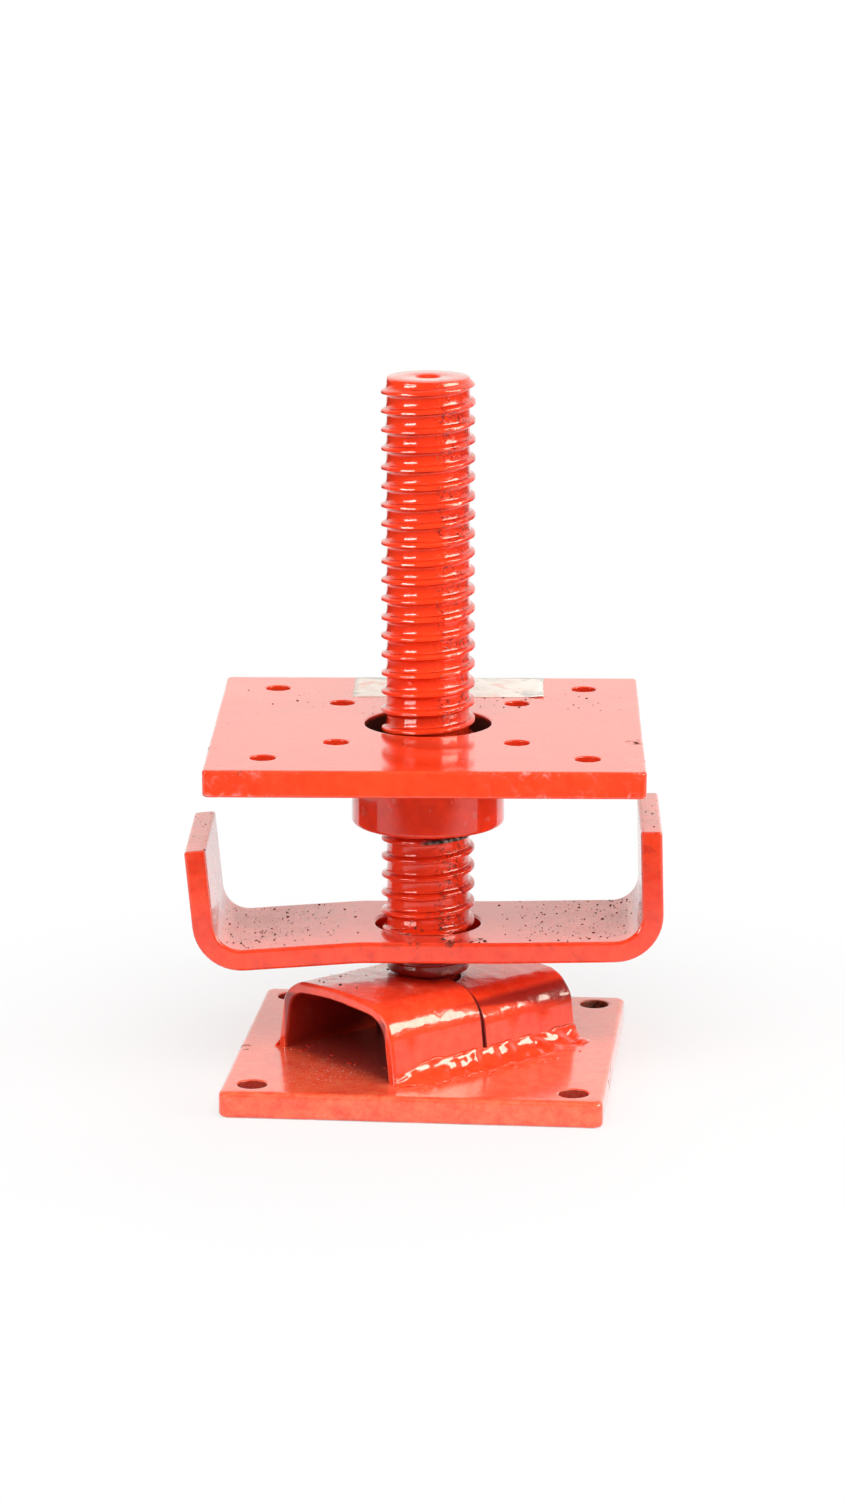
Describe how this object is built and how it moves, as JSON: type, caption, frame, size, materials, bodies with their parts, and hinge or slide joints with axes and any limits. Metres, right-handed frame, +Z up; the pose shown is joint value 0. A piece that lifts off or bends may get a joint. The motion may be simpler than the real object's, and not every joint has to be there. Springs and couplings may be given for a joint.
{
  "type": "timber jack",
  "caption": "Screw jack for a timber prop: nail plate with a nut collar on a coarse screw, bent turning handle, and a base plate with a welded saddle that holds the swivelling foot.",
  "frame": {"origin": "centre of the base plate's underside, on the floor under the screw", "axes": "+Z up along the screw, X and Y along the sides of the base plate"},
  "size_m": [0.1447, 0.1364, 0.211],
  "materials": {
    "enamel": "gloss"
  },
  "bodies": {
    "base": {"base_plate": "enamel", "saddle_left": "enamel", "saddle_right": "enamel", "saddle_weld_front": "enamel", "saddle_weld_rear": "enamel"},
    "spindle": {"jack_screw": "enamel", "turning_handle": "enamel", "handle_weld": "enamel"},
    "lift": {"top_plate": "enamel", "nut_collar": "enamel", "nut_weld": "enamel"}
  },
  "joints": [
    {"name": "screw_turn", "type": "hinge", "parent": "base", "child": "spindle", "pos_m": [0, 0, 0], "axis": [0, 0, 1], "range_deg": [-6428.56, 1157.13]},
    {"name": "plate_travel", "type": "slide", "parent": "base", "child": "lift", "axis": [0, 0, 1], "range_m": [-0.018, 0.1]}
  ],
  "couplings": [
    {"joint": "plate_travel", "follows": "screw_turn", "m_per_rad": -0.00089127}
  ]
}
